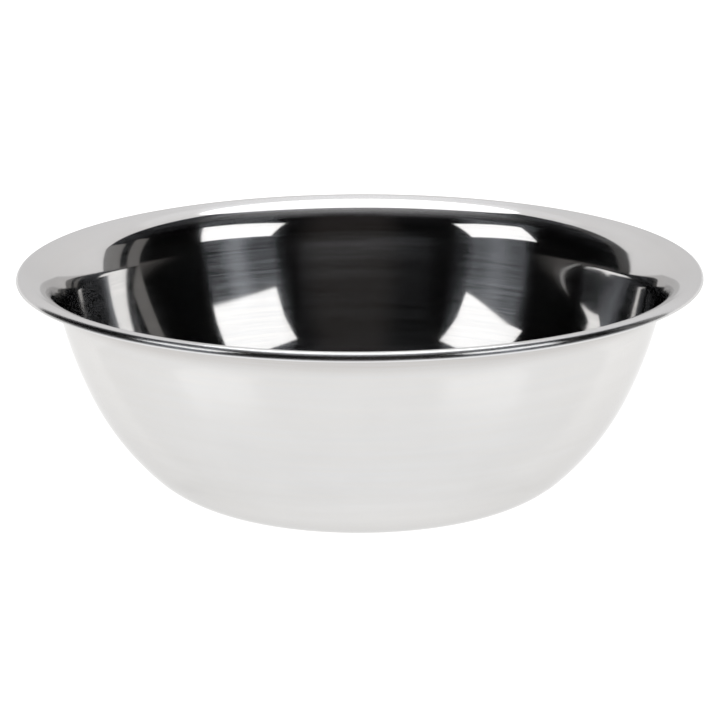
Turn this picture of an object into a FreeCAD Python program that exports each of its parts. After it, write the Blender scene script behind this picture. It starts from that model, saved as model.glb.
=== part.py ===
import FreeCAD, Part
import math
import os

# Mixing bowl, about 8 quarts: one disc of stainless sheet, drawn and spun to shape,
# with its own edge flared out, turned down and curled under to make the rim.
#
# Millimetres and degrees. The origin is the centre of the flat underside, where the
# bowl stands, and +Z is its axis, pointing up out of the mouth.

# Driving dimensions
RIM_DIAMETER = 336.5  # across the outside of the rolled rim
HEIGHT = 112.7  # from the table to the crest of the rim
SHEET = 0.8  # thickness of the steel

# Headings give the direction of the sheet's section as it leaves the axis: 0 runs
# outward and level, 90 runs straight up, and below 0 it comes back down.
# Radii are those of the sheet's upper side, which becomes the inside of the bowl.
FOOT_RADIUS = 50.2  # round corner between the base and the side
FOOT_HEADING = 43.35
SIDE_RADIUS = 129.7  # bellied lower side
SIDE_HEADING = 65.7
WALL_RADIUS = 240.9  # nearly straight middle of the side
WALL_HEADING = 68.3
BRIM_HEADING = 76.25  # steepest part, where the flare begins

NECK_RADIUS = 41.3  # the wall first leans out gently
NECK_HEADING = 58.25
FLARE_RADIUS = 19.1  # and then turns outward into the flange
FLANGE_HEADING = 19.7
FLANGE_LENGTH = 2.7  # straight stretch of the flange

ROLL_RADIUS = 3.7  # the flange is rolled over and down
ROLL_HEADING = -82.5
CURL_RADIUS = 1.05  # and curled tightly under
CURL_HEADING = -200.0
TUCK_LENGTH = 1.4  # straight end that hides the cut edge


def out(heading):
    return math.cos(math.radians(heading))


def up(heading):
    return math.sin(math.radians(heading))


def rise(radius, first, last):
    """Height gained round a bend from one heading to another."""
    return radius * abs(out(last) - out(first))


def reach(radius, first, last):
    """Distance gained outward round a bend from one heading to another."""
    return radius * abs(up(last) - up(first))


# Below the flare the wall is one long shallow arc, whose radius makes the bowl its
# full height.
BRIM_RISE = HEIGHT - SHEET - (
    rise(FOOT_RADIUS, 0, FOOT_HEADING)
    + rise(SIDE_RADIUS, FOOT_HEADING, SIDE_HEADING)
    + rise(WALL_RADIUS, SIDE_HEADING, WALL_HEADING)
    + rise(NECK_RADIUS, BRIM_HEADING, NECK_HEADING)
    + rise(FLARE_RADIUS, NECK_HEADING, FLANGE_HEADING)
    + FLANGE_LENGTH * up(FLANGE_HEADING)
    + rise(ROLL_RADIUS, FLANGE_HEADING, 0)
)
BRIM_RADIUS = BRIM_RISE / rise(1.0, WALL_HEADING, BRIM_HEADING)

# The flat base is what the bends leave of the rim's radius.
BASE_RADIUS = RIM_DIAMETER / 2 - (
    reach(FOOT_RADIUS, 0, FOOT_HEADING)
    + reach(SIDE_RADIUS, FOOT_HEADING, SIDE_HEADING)
    + reach(WALL_RADIUS, SIDE_HEADING, WALL_HEADING)
    + reach(BRIM_RADIUS, WALL_HEADING, BRIM_HEADING)
    + reach(NECK_RADIUS, BRIM_HEADING, NECK_HEADING)
    + reach(FLARE_RADIUS, NECK_HEADING, FLANGE_HEADING)
    + FLANGE_LENGTH * out(FLANGE_HEADING)
    + reach(ROLL_RADIUS, FLANGE_HEADING, ROLL_HEADING)
    + reach(CURL_RADIUS, ROLL_HEADING, -90)
)

# The section from the edge of the base to the cut edge, in order: a bend is
# ("bend", radius, heading at its end) and a straight stretch is ("run", length).
SECTION = [
    ("bend", FOOT_RADIUS, FOOT_HEADING),
    ("bend", SIDE_RADIUS, SIDE_HEADING),
    ("bend", WALL_RADIUS, WALL_HEADING),
    ("bend", BRIM_RADIUS, BRIM_HEADING),
    ("bend", NECK_RADIUS, NECK_HEADING),
    ("bend", FLARE_RADIUS, FLANGE_HEADING),
    ("run", FLANGE_LENGTH),
    ("bend", ROLL_RADIUS, ROLL_HEADING),
    ("bend", CURL_RADIUS, CURL_HEADING),
    ("run", TUCK_LENGTH),
]


def direction(heading):
    return FreeCAD.Vector(out(heading), 0, up(heading))


def upper_normal(heading):
    return FreeCAD.Vector(-up(heading), 0, out(heading))


def bend(start, first, last, radius):
    """Arc from one heading to another, and its end. It bends up about a centre above
    the sheet, or down about a centre below it."""
    side = 1 if last > first else -1
    centre = start + upper_normal(first) * side * radius

    def at(heading):
        return centre - upper_normal(heading) * side * radius

    end = at(last)
    return Part.Arc(start, at((first + last) / 2), end).toShape(), end


def side_of_sheet(depth):
    """Edges of the section at this depth below the upper side, from the axis to the
    cut edge, and the last point."""
    point = FreeCAD.Vector(BASE_RADIUS, 0, SHEET - depth)
    edges = [Part.LineSegment(FreeCAD.Vector(0, 0, SHEET - depth), point).toShape()]
    heading = 0.0
    for step in SECTION:
        if step[0] == "run":
            end = point + direction(heading) * step[1]
            edge = Part.LineSegment(point, end).toShape()
        else:
            upper_radius, last = step[1:]
            radius = upper_radius + depth if last > heading else upper_radius - depth
            edge, end = bend(point, heading, last, radius)
            heading = last
        edges.append(edge)
        point = end
    return edges, point


def make_bowl():
    inside, inner_tip = side_of_sheet(0.0)
    outside, outer_tip = side_of_sheet(SHEET)
    cut_edge = Part.LineSegment(inner_tip, outer_tip).toShape()
    axis = Part.LineSegment(FreeCAD.Vector(0, 0, 0), FreeCAD.Vector(0, 0, SHEET)).toShape()
    section = Part.Wire(inside + [cut_edge] + outside[::-1] + [axis])
    return Part.Face(section).revolve(FreeCAD.Vector(0, 0, 0), FreeCAD.Vector(0, 0, 1), 360)


os.makedirs("parts", exist_ok=True)
bowl = make_bowl()
bowl.exportStep("parts/bowl.step")

box = bowl.optimalBoundingBox()
print("valid", bowl.isValid(), "solids", len(bowl.Solids), "volume mm3", round(bowl.Volume))
print("box", round(box.XLength, 2), round(box.YLength, 2), round(box.ZMin, 3), round(box.ZMax, 3))
print("base radius", round(BASE_RADIUS, 2), "brim radius", round(BRIM_RADIUS, 1))
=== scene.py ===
import bpy
import math
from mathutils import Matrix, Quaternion, Vector


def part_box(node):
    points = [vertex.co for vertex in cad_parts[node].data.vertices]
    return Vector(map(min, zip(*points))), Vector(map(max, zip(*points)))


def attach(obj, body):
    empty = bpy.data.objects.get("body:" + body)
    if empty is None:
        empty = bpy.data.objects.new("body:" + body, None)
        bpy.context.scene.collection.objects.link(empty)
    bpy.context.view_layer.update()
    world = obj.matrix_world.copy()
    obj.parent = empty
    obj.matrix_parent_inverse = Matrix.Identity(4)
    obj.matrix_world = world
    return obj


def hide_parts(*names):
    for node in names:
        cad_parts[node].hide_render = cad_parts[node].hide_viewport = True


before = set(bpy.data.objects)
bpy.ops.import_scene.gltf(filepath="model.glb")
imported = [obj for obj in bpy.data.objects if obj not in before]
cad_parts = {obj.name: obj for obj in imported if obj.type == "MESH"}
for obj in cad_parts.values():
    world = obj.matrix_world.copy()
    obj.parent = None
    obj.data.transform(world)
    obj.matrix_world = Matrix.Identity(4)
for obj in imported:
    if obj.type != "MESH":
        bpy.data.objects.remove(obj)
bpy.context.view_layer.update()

# ---------------------------------------------------------------------------------------
# Sizes, in metres and degrees. The bowl's outer size is the frame's; the bends are those
# of its section, read along the upper side of the sheet, which becomes the inside.
# A heading is the direction of the section: 0 runs outward, 90 runs up, below 0 comes down.
# ---------------------------------------------------------------------------------------
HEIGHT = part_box("bowl")[1][2]
RIM_RADIUS = max(math.hypot(v.co.x, v.co.y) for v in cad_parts["bowl"].data.vertices)
SHEET = 0.0008

FOOT_RADIUS, FOOT_HEADING = 0.0502, 43.35
SIDE_RADIUS, SIDE_HEADING = 0.1297, 65.7
WALL_RADIUS, WALL_HEADING = 0.2409, 68.3
BRIM_HEADING = 76.25
NECK_RADIUS, NECK_HEADING = 0.0413, 58.25
FLARE_RADIUS, FLANGE_HEADING = 0.0191, 19.7
FLANGE_LENGTH = 0.0027
ROLL_RADIUS, ROLL_HEADING = 0.0037, -82.5
CURL_RADIUS, CURL_HEADING = 0.00105, -200.0
TUCK_LENGTH = 0.0014

# A dent: one side of the wall is pushed in by this much, at this angle round from +X, over
# this spread either way, most at one height and not at all below or above the other two.
DENT_DEPTH, DENT_TURN, DENT_SPREAD = 0.0010, 36.0, 18.0
DENT_FOOT, DENT_PEAK, DENT_TOP = 0.066, 0.093, 0.1125
SLOPE_STEP = 0.0005  # distance, or angle in radians, over which its slope is measured

# Fineness of the mesh
ROUND_STEPS = 288  # facets round the bowl
BASE_RINGS = 6
WALL_STEP = 2.0  # degrees of heading between rings on the broad bends
LONG_STEP = 0.6  # on the long, nearly straight wall
ROLL_STEP = 4.5  # on the roll at the edge
CURL_STEP = 9.0  # on the tight curl under it


def out(heading):
    return math.cos(math.radians(heading))


def up(heading):
    return math.sin(math.radians(heading))


def rise(radius, first, last):
    """Height gained round a bend from one heading to another."""
    return radius * abs(out(last) - out(first))


def reach(radius, first, last):
    """Distance gained outward round a bend from one heading to another."""
    return radius * abs(up(last) - up(first))


BRIM_RISE = HEIGHT - SHEET - (
    rise(FOOT_RADIUS, 0, FOOT_HEADING)
    + rise(SIDE_RADIUS, FOOT_HEADING, SIDE_HEADING)
    + rise(WALL_RADIUS, SIDE_HEADING, WALL_HEADING)
    + rise(NECK_RADIUS, BRIM_HEADING, NECK_HEADING)
    + rise(FLARE_RADIUS, NECK_HEADING, FLANGE_HEADING)
    + FLANGE_LENGTH * up(FLANGE_HEADING)
    + rise(ROLL_RADIUS, FLANGE_HEADING, 0)
)
BRIM_RADIUS = BRIM_RISE / rise(1.0, WALL_HEADING, BRIM_HEADING)
BASE_RADIUS = RIM_RADIUS - (
    reach(FOOT_RADIUS, 0, FOOT_HEADING)
    + reach(SIDE_RADIUS, FOOT_HEADING, SIDE_HEADING)
    + reach(WALL_RADIUS, SIDE_HEADING, WALL_HEADING)
    + reach(BRIM_RADIUS, WALL_HEADING, BRIM_HEADING)
    + reach(NECK_RADIUS, BRIM_HEADING, NECK_HEADING)
    + reach(FLARE_RADIUS, NECK_HEADING, FLANGE_HEADING)
    + FLANGE_LENGTH * out(FLANGE_HEADING)
    + reach(ROLL_RADIUS, FLANGE_HEADING, ROLL_HEADING)
    + reach(CURL_RADIUS, ROLL_HEADING, -90)
)

# The section from the edge of the base to the cut edge: a bend is (radius, heading at its
# end, degrees between rings), and a straight stretch is its length.
BEFORE_NECK = [
    (FOOT_RADIUS, FOOT_HEADING, WALL_STEP),
    (SIDE_RADIUS, SIDE_HEADING, WALL_STEP),
    (WALL_RADIUS, WALL_HEADING, LONG_STEP),
    (BRIM_RADIUS, BRIM_HEADING, LONG_STEP),
]
BEFORE_ROLL = BEFORE_NECK + [
    (NECK_RADIUS, NECK_HEADING, WALL_STEP),
    (FLARE_RADIUS, FLANGE_HEADING, WALL_STEP),
    FLANGE_LENGTH,
]
SECTION = BEFORE_ROLL + [
    (ROLL_RADIUS, ROLL_HEADING, ROLL_STEP),
    (CURL_RADIUS, CURL_HEADING, CURL_STEP),
    TUCK_LENGTH,
]


def length_along(steps):
    """Length of the section's upper side, from the axis to the end of these steps."""
    length = BASE_RADIUS
    heading = 0.0
    for step in steps:
        if isinstance(step, float):
            length += step
        else:
            length += step[0] * math.radians(abs(step[1] - heading))
            heading = step[1]
    return length


NECK_START = length_along(BEFORE_NECK)
ROLL_START = length_along(BEFORE_ROLL)


# ---------------------------------------------------------------------------------------
# The bowl
# ---------------------------------------------------------------------------------------
def section_side(depth):
    """Rings of one side of the sheet, this deep below its upper side, from near the axis
    to the cut edge: (radius, height, heading, length along the upper side)."""
    rings = []
    for i in range(1, BASE_RINGS + 1):
        r = BASE_RADIUS * i / BASE_RINGS
        rings.append((r, SHEET - depth, 0.0, r))
    r, z, heading, along = rings[-1]
    for step in SECTION:
        if isinstance(step, float):
            r += step * out(heading)
            z += step * up(heading)
            along += step
            rings.append((r, z, heading, along))
            continue
        radius, last, spacing = step
        side = 1 if last > heading else -1
        true_radius = radius + side * depth
        centre_r = r - up(heading) * side * true_radius
        centre_z = z + out(heading) * side * true_radius
        count = max(2, math.ceil(abs(last - heading) / spacing))
        for i in range(1, count + 1):
            h = heading + (last - heading) * i / count
            ring_r = centre_r + up(h) * side * true_radius
            ring_z = centre_z - out(h) * side * true_radius
            rings.append((ring_r, ring_z, h, along + radius * math.radians(abs(h - heading))))
        r, z, heading, along = rings[-1]
    return rings


def smooth_step(value):
    value = min(max(value, 0.0), 1.0)
    return value * value * (3 - 2 * value)


def unevenness(turn, z):
    """How far the wall stands out of true at this place."""
    off = (math.degrees(turn) - DENT_TURN + 180) % 360 - 180
    rises = smooth_step((z - DENT_FOOT) / (DENT_PEAK - DENT_FOOT))
    falls = smooth_step((z - DENT_PEAK) / (DENT_TOP - DENT_PEAK))
    return -DENT_DEPTH * math.exp(-((off / DENT_SPREAD) ** 2)) * (rises - falls)


def placed(ring, turn):
    """Place and normal of the ring's point at this angle round the bowl."""
    r, z, (normal_r, normal_z), _ = ring
    above, below = unevenness(turn, z + SLOPE_STEP), unevenness(turn, z - SLOPE_STEP)
    after, before = unevenness(turn + SLOPE_STEP, z), unevenness(turn - SLOPE_STEP, z)
    # The dent's slope up the wall tips the normal, and its slope round the bowl swings it.
    tip = normal_r * normal_r * (above - below) / (2 * SLOPE_STEP)
    swing = -normal_r * (after - before) / (2 * SLOPE_STEP * r)
    level = normal_r + tip * normal_z
    climb = normal_z - tip * normal_r
    c, s = math.cos(turn), math.sin(turn)
    pushed = r + unevenness(turn, z)
    normal = Vector((level * c - swing * s, level * s + swing * c, climb)).normalized()
    return (pushed * c, pushed * s, z), normal


def revolve(name, rings, first_pole, last_pole):
    """Closed surface through these rings of (radius, height, normal, along), capped at the
    axis at both ends. A normal is (outward part, upward part), and a pole is its height and
    the upward part of its normal."""
    verts, normals, along, faces = [], [], [], []
    for ring in rings:
        for j in range(ROUND_STEPS):
            place, normal = placed(ring, 2 * math.pi * j / ROUND_STEPS)
            verts.append(place)
            normals.append(normal)
            along.append(ring[3])
    for i in range(len(rings) - 1):
        low, high = i * ROUND_STEPS, (i + 1) * ROUND_STEPS
        for j in range(ROUND_STEPS):
            k = (j + 1) % ROUND_STEPS
            faces.append((low + j, high + j, high + k, low + k))
    caps = ((first_pole, 0, True), (last_pole, len(rings) - 1, False))
    for (height, normal_z), ring, first in caps:
        centre = len(verts)
        verts.append((0.0, 0.0, height))
        normals.append((0.0, 0.0, normal_z))
        along.append(0.0)
        for j in range(ROUND_STEPS):
            here = ring * ROUND_STEPS + j
            following = ring * ROUND_STEPS + (j + 1) % ROUND_STEPS
            faces.append((centre, here, following) if first else (centre, following, here))
    mesh = bpy.data.meshes.new(name)
    mesh.from_pydata(verts, [], faces)
    mesh.shade_smooth()
    mesh.attributes.new("along", "FLOAT", "POINT").data.foreach_set("value", along)
    mesh.normals_split_custom_set_from_vertices(normals)
    mesh.update()
    piece = bpy.data.objects.new(name, mesh)
    bpy.context.scene.collection.objects.link(piece)
    return piece


def make_bowl():
    """Inside and outside as one surface. `along` counts down from zero on the outside."""
    inside = [(r, z, (-up(h), out(h)), along) for r, z, h, along in section_side(0.0)]
    outside = [(r, z, (up(h), -out(h)), -along) for r, z, h, along in section_side(SHEET)]
    return revolve("mixing_bowl", inside + outside[::-1], (SHEET, 1.0), (0.0, -1.0))


# ---------------------------------------------------------------------------------------
# Nodes
# ---------------------------------------------------------------------------------------
class Nodes:
    """Adds nodes to a tree and wires them in one call: an input is a value or an output
    socket, named by its name or, as i0, i1 and so on, by its place."""

    def __init__(self, tree):
        self.tree = tree
        tree.nodes.clear()

    def add(self, kind, settings=None, **inputs):
        node = self.tree.nodes.new(kind)
        for key, value in (settings or {}).items():
            setattr(node, key, value)
        for key, value in inputs.items():
            by_place = key[0] == "i" and key[1:].isdigit()
            socket = node.inputs[int(key[1:]) if by_place else key.replace("_", " ")]
            if isinstance(value, bpy.types.NodeSocket):
                self.tree.links.new(value, socket)
            else:
                socket.default_value = value
        return node

    def math(self, operation, a, b=0.0, clamp=False):
        settings = {"operation": operation, "use_clamp": clamp}
        return self.add("ShaderNodeMath", settings, i0=a, i1=b).outputs[0]

    def remap(self, value, low, high, to_low=0.0, to_high=1.0, smooth=False):
        settings = {"interpolation_type": "SMOOTHSTEP"} if smooth else {}
        inputs = {"i0": value, "i1": low, "i2": high, "i3": to_low, "i4": to_high}
        return self.add("ShaderNodeMapRange", settings, **inputs).outputs[0]

    def mix(self, share, a, b, blend="MIX"):
        """Two colours mixed."""
        settings = {"data_type": "RGBA", "blend_type": blend}
        return self.add("ShaderNodeMix", settings, i0=share, i6=a, i7=b).outputs[2]

    def noise(self, place, scale, detail, roughness):
        inputs = {"Vector": place, "Scale": scale, "Detail": detail, "Roughness": roughness}
        return self.add("ShaderNodeTexNoise", **inputs).outputs["Fac"]

    def bump(self, height):
        """Normals for a height in metres."""
        return self.add("ShaderNodeBump", Strength=1.0, Distance=1.0, Height=height).outputs[0]


# ---------------------------------------------------------------------------------------
# Steel: a mirror finish, crossed by fine spin lines that run round the bowl. The lines
# scatter part of the light up and down the side, hardly round it.
# ---------------------------------------------------------------------------------------
STEEL_COLOUR = (0.79, 0.78, 0.77, 1.0)
FLANGE_SHADE_COLOUR = (0.64, 0.62, 0.605, 1.0)  # painted shade, darkening the outside just under the flange where the flange shadows the wall
FLANGE_SHADE_FROM, FLANGE_SHADE_TO = 0.013, 0.004  # how far above the start of the neck the painted shade runs
EDGE_TINT = (0.82, 0.82, 0.82, 1.0)  # what the mirror keeps at a glancing view
SCATTER_COLOUR = (0.74, 0.77, 0.82, 1.0)
SCATTER_ROUGHNESS = 0.23
SCATTER_ANISOTROPY = 0.735

SMALLEST_RADIUS = 0.001  # keeps the lines finite at the axis
WAVE_DEPTH = 0.000012  # slow waviness of the sheet, in metres
LINE_DEPTH = 0.000012  # spin lines, in metres
FINE_LENGTH, FINE_PITCH = 0.4, 0.0011  # length as a share of the radius, pitch in metres
BROAD_LENGTH, BROAD_PITCH = 0.9, 0.007
WAVE_SCALE = 40.0  # waves in a metre
CLOUD_SCALE = 28.0  # faint patches of tone in a metre
CLOUD_TONE, BROAD_TONE = 0.975, 0.98  # how dark the patches and the broad lines get
NOISE_RANGE = (0.30, 0.70)  # what the noise mostly keeps to
FINE_RANGE = (0.32, 0.68)

MIRROR_ROUGHNESS = (0.05, 0.07)  # between and on the broad lines
FINE_SHARE = (0.06, 0.27)  # of the light that is scattered, between and on the fine lines
BROAD_SHARE = 0.03  # more or less of it on the broad lines
LOW_SHARE = 0.06  # more of it low down
LOW_FROM, LOW_TO = 0.050, 0.072  # heights between which that ends
ROLL_SHARE = 0.25  # more of it on the rolled edge
ROLL_ROUGHNESS = 0.10  # more roughness of the mirror there
ROLL_BEFORE, ROLL_AFTER = 0.010, 0.004  # both begin this far before the roll, and are full this far on
GLANCING_SHARE = 0.3  # how much of the scattered share is left at a glancing view
GLANCING_FROM, GLANCING_TO = 0.25, 0.75  # 0 faces the view and 1 is edge on


def steel_material():
    material = bpy.data.materials.new("steel")
    material.use_nodes = True
    n = Nodes(material.node_tree)
    place = n.add("ShaderNodeTexCoord").outputs["Object"]
    x, y, z = n.add("ShaderNodeSeparateXYZ", i0=place).outputs
    along = n.add("ShaderNodeAttribute", {"attribute_name": "along"}).outputs["Fac"]
    squares = n.math("ADD", n.math("MULTIPLY", x, x), n.math("MULTIPLY", y, y))
    radius = n.math("MAXIMUM", n.math("SQRT", squares), SMALLEST_RADIUS)
    turn_x, turn_y = n.math("DIVIDE", x, radius), n.math("DIVIDE", y, radius)

    def spin_lines(length, pitch, detail, seed):
        """Noise drawn out round the bowl: lines this long and this far apart."""
        vector = n.add(
            "ShaderNodeCombineXYZ",
            i0=n.math("MULTIPLY", turn_x, 1.0 / length),
            i1=n.math("MULTIPLY", turn_y, 1.0 / length),
            i2=n.math("ADD", n.math("MULTIPLY", along, 1.0 / pitch), seed),
        )
        return n.noise(vector.outputs[0], scale=1.0, detail=detail, roughness=0.6)

    fine = spin_lines(FINE_LENGTH, FINE_PITCH, detail=3.0, seed=0.0)
    broad = spin_lines(BROAD_LENGTH, BROAD_PITCH, detail=2.0, seed=7.0)
    cloud = n.noise(place, CLOUD_SCALE, detail=3.0, roughness=0.55)
    wave = n.noise(place, WAVE_SCALE, detail=2.0, roughness=0.5)
    waviness = n.math("MULTIPLY", wave, WAVE_DEPTH)
    lines = n.math("ADD", waviness, n.math("MULTIPLY", fine, LINE_DEPTH))

    # colour
    cloud_tone = n.remap(cloud, *NOISE_RANGE, CLOUD_TONE, 1.0)
    tone = n.math("MULTIPLY", cloud_tone, n.remap(broad, *NOISE_RANGE, BROAD_TONE, 1.0))
    # painted shade: the outside wall is darkened just under the flange, standing in for the flange's
    # shadow
    flange_shade_from, flange_shade_to = -NECK_START - FLANGE_SHADE_FROM, -NECK_START - FLANGE_SHADE_TO
    flange_shade = n.remap(along, flange_shade_from, flange_shade_to, 1.0, 0.0, smooth=True)
    colour = n.mix(1.0, n.mix(flange_shade, STEEL_COLOUR, FLANGE_SHADE_COLOUR), tone, "MULTIPLY")

    # the mirror
    length = n.math("ABSOLUTE", along)
    rolled = n.remap(length, ROLL_START - ROLL_BEFORE, ROLL_START + ROLL_AFTER, smooth=True)
    roughness = n.remap(broad, *NOISE_RANGE, *MIRROR_ROUGHNESS)
    roughness = n.math("ADD", roughness, n.math("MULTIPLY", rolled, ROLL_ROUGHNESS))
    mirror = n.add(
        "ShaderNodeBsdfPrincipled",
        Base_Color=colour, Metallic=1.0, Roughness=roughness,
        Specular_Tint=EDGE_TINT, Normal=n.bump(waviness),
    )

    # the light that the spin lines scatter
    tangent = n.add("ShaderNodeTangent", {"direction_type": "RADIAL", "axis": "Z"}).outputs[0]
    scattered = n.add(
        "ShaderNodeBsdfAnisotropic",
        {"distribution": "BECKMANN"},
        Color=n.mix(1.0, SCATTER_COLOUR, tone, "MULTIPLY"),
        Roughness=SCATTER_ROUGHNESS, Anisotropy=SCATTER_ANISOTROPY,
        Normal=n.bump(lines), Tangent=tangent,
    )
    share = n.remap(fine, *FINE_RANGE, *FINE_SHARE)
    share = n.math("ADD", share, n.remap(broad, *NOISE_RANGE, -BROAD_SHARE, BROAD_SHARE))
    share = n.math("ADD", share, n.remap(z, LOW_FROM, LOW_TO, LOW_SHARE, 0.0, smooth=True))
    share = n.math("ADD", share, n.math("MULTIPLY", rolled, ROLL_SHARE))
    facing = n.add("ShaderNodeLayerWeight", Blend=0.5).outputs["Facing"]
    glancing = n.remap(facing, GLANCING_FROM, GLANCING_TO, 1.0, GLANCING_SHARE, smooth=True)
    share = n.math("MULTIPLY", share, glancing, clamp=True)
    mixed = n.add("ShaderNodeMixShader", i0=share, i1=mirror.outputs[0], i2=scattered.outputs[0])
    n.add("ShaderNodeOutputMaterial", i0=mixed.outputs[0])
    return material


bowl = make_bowl()
bowl.data.materials.append(steel_material())
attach(bowl, "root")
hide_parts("bowl")

# ---------------------------------------------------------------------------------------
# Camera
# ---------------------------------------------------------------------------------------
CAMERA_DISTANCE = 1.85
CAMERA_ELEVATION = 14.92
CAMERA_AIM = 0.0651  # height on the bowl's axis that the camera looks at
CAMERA_ROLL = -0.18
CAMERA_LENS, CAMERA_SENSOR = 187.2, 36.0  # millimetres
CAMERA_SEES = (0.05, 50.0)  # nearest and farthest


def make_camera():
    data = bpy.data.cameras.new("camera")
    data.sensor_width = CAMERA_SENSOR
    data.lens = CAMERA_LENS
    data.clip_start, data.clip_end = CAMERA_SEES
    camera = bpy.data.objects.new("camera", data)
    level, height = out(CAMERA_ELEVATION), up(CAMERA_ELEVATION)
    camera.location = (0.0, -CAMERA_DISTANCE * level, CAMERA_AIM + CAMERA_DISTANCE * height)
    look = Vector((0.0, level, -height)).to_track_quat("-Z", "Y")
    camera.rotation_mode = "QUATERNION"
    camera.rotation_quaternion = look @ Quaternion((0, 0, 1), math.radians(CAMERA_ROLL))
    bpy.context.scene.collection.objects.link(camera)
    bpy.context.scene.camera = camera


# ---------------------------------------------------------------------------------------
# Studio: a white floor, a big round light overhead, a softbox each side of the camera,
# and a room that is pale behind the bowl and dark behind the camera. Azimuth 0 is
# towards the camera and 90 is to its right.
# ---------------------------------------------------------------------------------------
STUDIO_CENTRE = Vector((0.0, 0.10, 0.04))
LIGHT_DISTANCE = 3.0

SOFTBOX_BRIGHTNESS = 1.45
# azimuth, elevation, width and height as shares of the distance, and how far it is turned,
# tilted and rolled away from facing the bowl
SOFTBOXES = {
    "softbox_right": (52.8, 35.2, 0.51, 0.33, 0.5, -4.7, 3.6),
    "softbox_left": (-63.2, 36.4, 0.51, 0.34, 19.4, 31.4, -1.0),
}
OVERHEAD_BRIGHTNESS = 1.5
OVERHEAD_WIDTH, OVERHEAD_DEPTH = 0.80, 0.72  # shares of its height above the bowl
OVERHEAD_BEHIND = 0.26  # how far it stands behind the bowl, as such a share


def area_light(name, shape, width, height, brightness, away):
    """An area light in this direction; width and height are shares of its distance."""
    data = bpy.data.lights.new(name, "AREA")
    data.shape = shape
    data.size = width * LIGHT_DISTANCE
    data.size_y = height * LIGHT_DISTANCE
    area = data.size * data.size_y * (math.pi / 4 if shape == "ELLIPSE" else 1.0)
    data.energy = brightness * math.pi * area
    light = bpy.data.objects.new(name, data)
    light.location = STUDIO_CENTRE + away * LIGHT_DISTANCE
    light.rotation_mode = "QUATERNION"
    bpy.context.scene.collection.objects.link(light)
    return light


def make_lights():
    for name, (azimuth, elevation, width, height, turn, tilt, roll) in SOFTBOXES.items():
        level = out(elevation)
        away = Vector((up(azimuth) * level, -out(azimuth) * level, up(elevation)))
        softbox = area_light(name, "RECTANGLE", width, height, SOFTBOX_BRIGHTNESS, away)
        softbox.rotation_quaternion = (
            away.to_track_quat("Z", "Y")
            @ Quaternion((0, 1, 0), math.radians(turn))
            @ Quaternion((1, 0, 0), math.radians(tilt))
            @ Quaternion((0, 0, 1), math.radians(-roll))
        )
    above = Vector((0.0, OVERHEAD_BEHIND, 1.0))
    area_light("overhead", "ELLIPSE", OVERHEAD_WIDTH, OVERHEAD_DEPTH, OVERHEAD_BRIGHTNESS, above)


# azimuth of the middle, half its width, lowest and highest elevation, softness across
# and up and down, colour. A later panel hides an earlier one.
ROOM_PANELS = {
    "ceiling": (0.0, 100.0, 66.0, 91.0, 20.0, 40.0, (0.26, 0.255, 0.255)),
    "behind_camera": (4.0, 18.0, -10.0, 60.0, 16.0, 20.0, (0.017, 0.015, 0.014)),
    "side_floor": (0.0, 118.0, -10.0, 7.0, 12.0, 5.0, (0.105, 0.100, 0.096)),
    "front_floor": (0.0, 26.0, -10.0, 7.5, 16.0, 6.0, (0.25, 0.237, 0.23)),
    "glow_right_wide": (47.0, 12.0, 5.0, 26.0, 5.0, 4.0, (0.035, 0.037, 0.041)),
    "glow_right": (51.5, 4.0, 5.0, 26.0, 9.0, 4.0, (0.180, 0.188, 0.205)),
    "glow_left_wide": (-60.0, 13.0, 5.0, 26.0, 5.0, 4.0, (0.060, 0.063, 0.069)),
    "glow_left": (-59.0, 4.0, 5.0, 26.0, 9.0, 4.0, (0.125, 0.131, 0.143)),
    "backdrop_top": (175.7, 56.3, 44.0, 64.0, 1.5, 2.0, (0.90, 0.89, 0.89)),
    "backdrop": (175.7, 56.3, -10.0, 48.0, 1.5, 4.0, (0.80, 0.79, 0.79)),
    "wall_end_right": (101.0, 3.5, 4.0, 31.0, 1.5, 1.5, (0.16, 0.155, 0.15)),
    "wall_end_far_right": (114.0, 5.0, 4.0, 27.0, 1.5, 1.5, (0.20, 0.195, 0.19)),
    "wall_end_left": (-125.0, 4.0, 6.0, 50.0, 3.0, 3.0, (0.06, 0.058, 0.056)),
}
ROOM_DARK = (0.001, 0.001, 0.001, 1.0)
ROOM_FLOOR = (0.95, 0.95, 0.95, 1.0)  # below the horizon, past the edge of the floor
HORIZON = (-3.0, -1.0)  # elevations between which the room begins
ROOM_SEEN = (1.0, 1.0, 1.0, 1.0)  # what the camera itself sees behind the bowl


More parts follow.
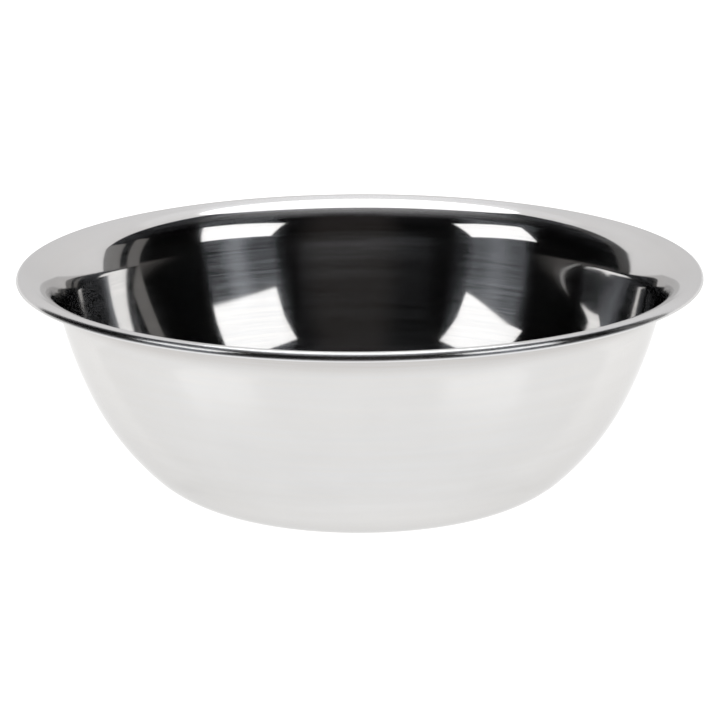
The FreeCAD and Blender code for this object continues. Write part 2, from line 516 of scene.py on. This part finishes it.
def make_room():
    world = bpy.data.worlds.new("studio_room")
    bpy.context.scene.world = world
    world.use_nodes = True
    n = Nodes(world.node_tree)
    view = n.add("ShaderNodeTexCoord").outputs["Generated"]
    height = n.add("ShaderNodeSeparateXYZ", i0=view).outputs[2]
    elevation = n.math("MULTIPLY", n.math("ARCSINE", height), 180 / math.pi)
    room = ROOM_DARK
    for middle, half, low, high, soft_across, soft_up, colour in ROOM_PANELS.values():
        turned = n.add(
            "ShaderNodeVectorRotate",
            {"rotation_type": "Z_AXIS"},
            Vector=view, Angle=math.radians(-middle),
        )
        side, back, _ = n.add("ShaderNodeSeparateXYZ", i0=turned.outputs[0]).outputs
        azimuth = n.math("ARCTAN2", side, n.math("MULTIPLY", back, -1.0))
        across = n.math("ABSOLUTE", n.math("MULTIPLY", azimuth, 180 / math.pi))
        inside = n.remap(across, half - soft_across / 2, half + soft_across / 2, 1.0, 0.0, smooth=True)
        above = n.remap(elevation, low - soft_up / 2, low + soft_up / 2, smooth=True)
        below = n.remap(elevation, high - soft_up / 2, high + soft_up / 2, 1.0, 0.0, smooth=True)
        share = n.math("MULTIPLY", inside, n.math("MULTIPLY", above, below))
        room = n.mix(share, room, (*colour, 1.0))
    floor = n.remap(elevation, *HORIZON, 1.0, 0.0, smooth=True)
    room = n.mix(floor, room, ROOM_FLOOR)
    seen = n.add("ShaderNodeLightPath").outputs["Is Camera Ray"]
    light = n.add("ShaderNodeBackground", Color=n.mix(seen, room, ROOM_SEEN), Strength=1.0)
    n.add("ShaderNodeOutputWorld", i0=light.outputs[0])


FLOOR_HALF = 5.0  # half its width
FLOOR_COLOUR = (1.0, 0.995, 0.985, 1.0)  # of its glow, which stands for a white table well lit
FLOOR_BASE = (0.05, 0.05, 0.05, 1.0)
FLOOR_ROUGHNESS, FLOOR_IOR = 0.2, 1.6
# Brightness that the bowl mirrors: under it, beside it and far from it, and the distances
# from its axis between which one turns into the next
FLOOR_UNDER, FLOOR_NEAR, FLOOR_FAR = 0.93, 0.97, 0.64
UNDER_ENDS, NEAR_BEGINS = 0.08, 0.24
NEAR_ENDS, FAR_BEGINS = 0.28, 0.75


def make_floor():
    corners = [(-1, -1), (1, -1), (1, 1), (-1, 1)]
    mesh = bpy.data.meshes.new("floor")
    mesh.from_pydata([(x * FLOOR_HALF, y * FLOOR_HALF, 0) for x, y in corners], [], [(0, 1, 2, 3)])
    floor = bpy.data.objects.new("floor", mesh)
    bpy.context.scene.collection.objects.link(floor)
    material = bpy.data.materials.new("white_table")
    material.use_nodes = True
    n = Nodes(material.node_tree)
    place = n.add("ShaderNodeTexCoord").outputs["Object"]
    away = n.add("ShaderNodeVectorMath", {"operation": "LENGTH"}, i0=place).outputs["Value"]
    near = n.remap(away, UNDER_ENDS, NEAR_BEGINS, FLOOR_UNDER, FLOOR_NEAR, smooth=True)
    falls = n.remap(away, NEAR_ENDS, FAR_BEGINS, 0.0, FLOOR_NEAR - FLOOR_FAR, smooth=True)
    seen = n.add("ShaderNodeLightPath").outputs["Is Camera Ray"]
    surface = n.add(
        "ShaderNodeBsdfPrincipled",
        Base_Color=FLOOR_BASE, Roughness=FLOOR_ROUGHNESS, IOR=FLOOR_IOR,
        Emission_Color=FLOOR_COLOUR,
        Emission_Strength=n.math("MAXIMUM", n.math("SUBTRACT", near, falls), seen),
    )
    n.add("ShaderNodeOutputMaterial", i0=surface.outputs[0])
    mesh.materials.append(material)


make_camera()
make_lights()
make_room()
make_floor()
bpy.context.scene.view_settings.view_transform = "Standard"
